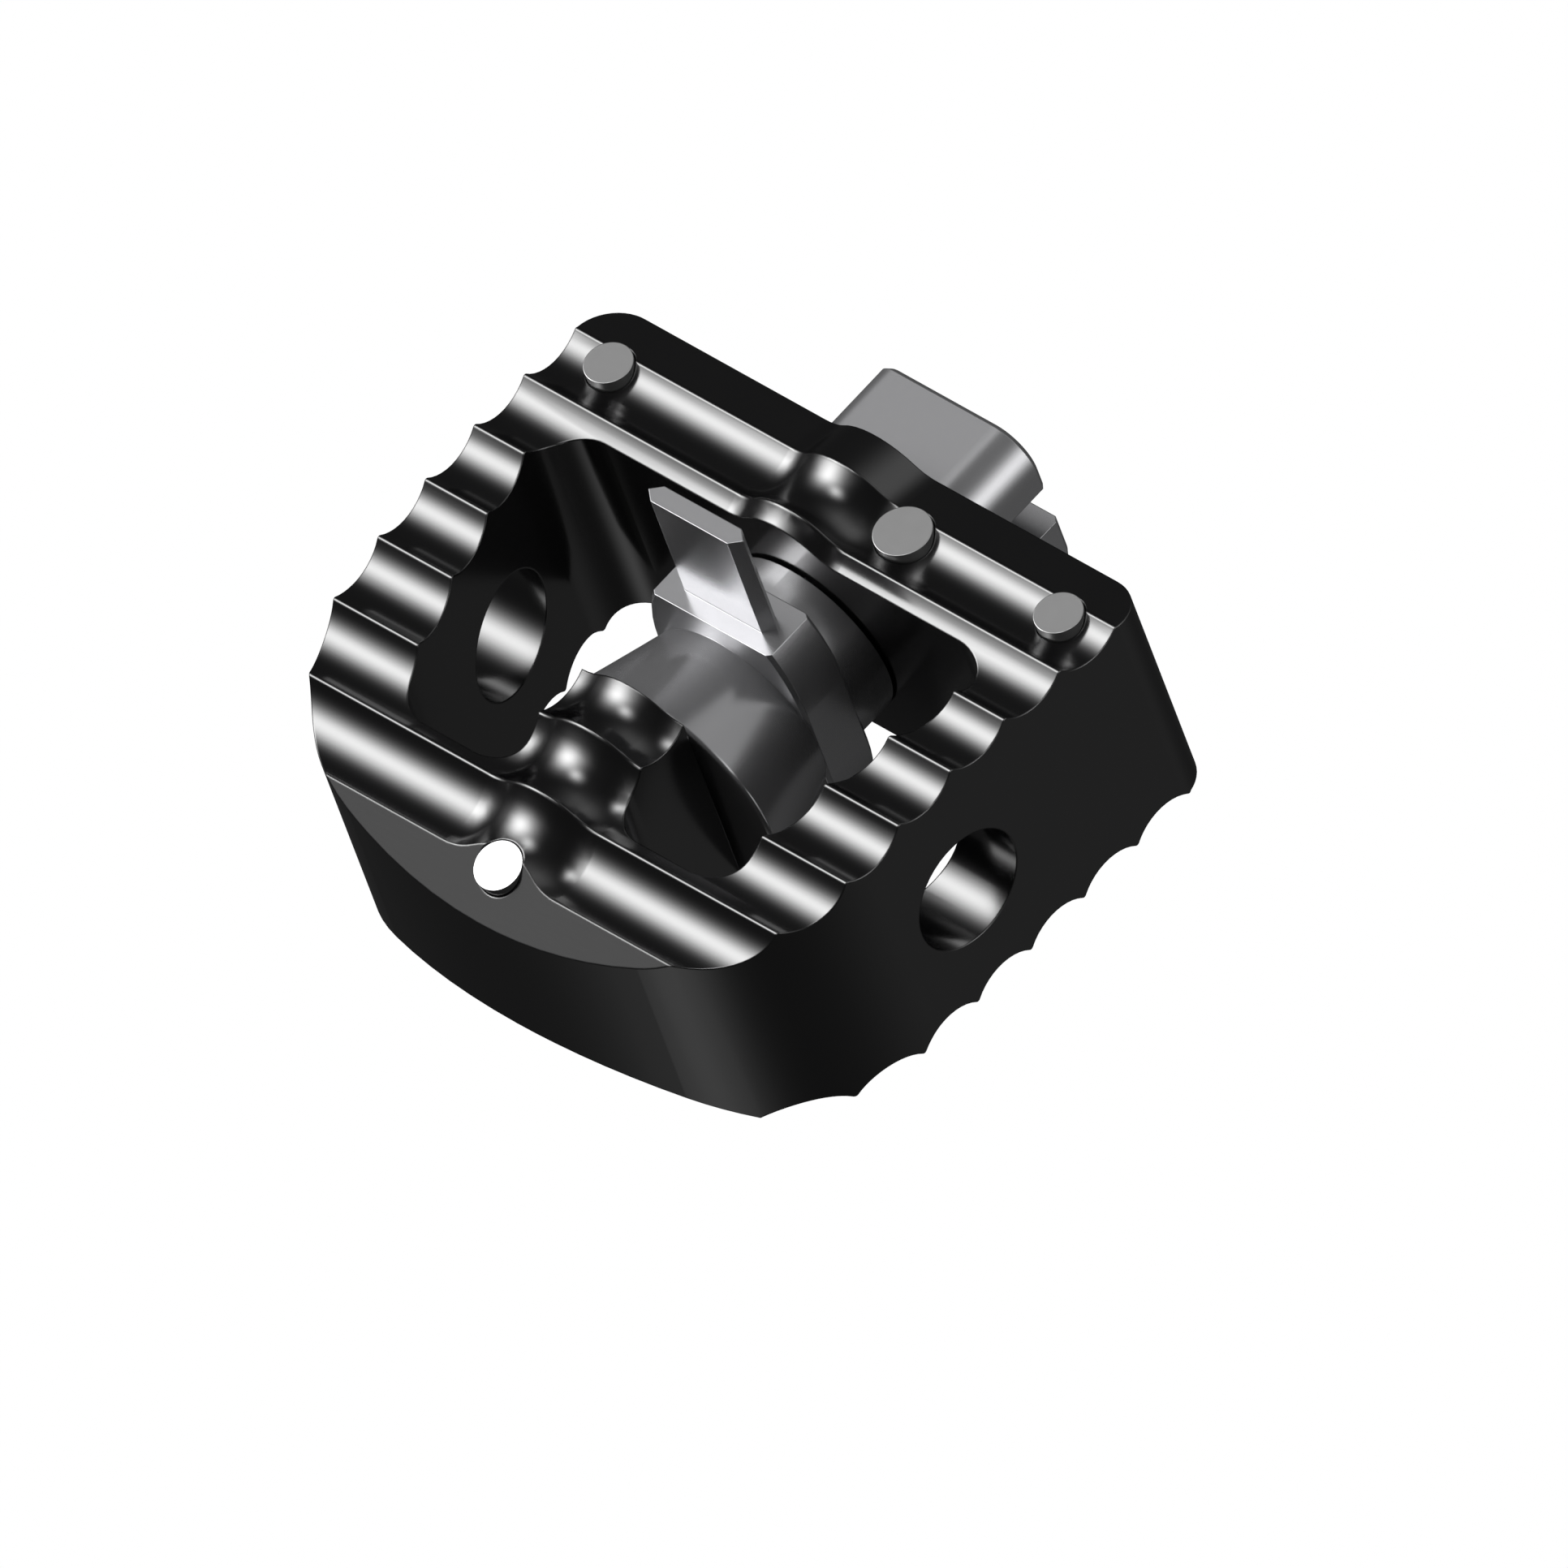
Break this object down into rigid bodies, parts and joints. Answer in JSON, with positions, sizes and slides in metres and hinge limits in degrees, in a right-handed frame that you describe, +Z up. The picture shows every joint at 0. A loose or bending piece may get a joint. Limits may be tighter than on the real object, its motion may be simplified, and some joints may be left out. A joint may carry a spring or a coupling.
{
  "type": "spinal interbody cage",
  "caption": "Dark polymer interbody cage with ridged faces, a graft window, marker pins and a metal anchor blade that a slotted drive shaft turns.",
  "frame": {"origin": "on the rotor's axis, midway between the nose and the end of the drive head", "axes": "+X across the cage along its ridges, +Y along the rotor's axis towards the drive head, +Z up out of the domed face"},
  "size_m": [0.0142, 0.0142, 0.0108],
  "materials": {
    "cage_polymer": "near-black moulded and machined polymer, polished",
    "rotor_metal": "grey titanium alloy, finely machined and satin",
    "marker_metal": "tantalum wire, cut flat and polished"
  },
  "bodies": {
    "cage": {"cage_body": "cage_polymer", "left_rear_marker": "marker_metal", "right_rear_marker": "marker_metal", "middle_rear_marker": "marker_metal", "front_marker": "marker_metal"},
    "rotor": {"anchor_blade": "rotor_metal", "drive_shaft": "rotor_metal"}
  },
  "joints": [
    {"name": "blade_turn", "type": "hinge", "parent": "cage", "child": "rotor", "pos_m": [0, 0, 0], "axis": [0, 1, 0], "range_deg": [0, 90]}
  ]
}
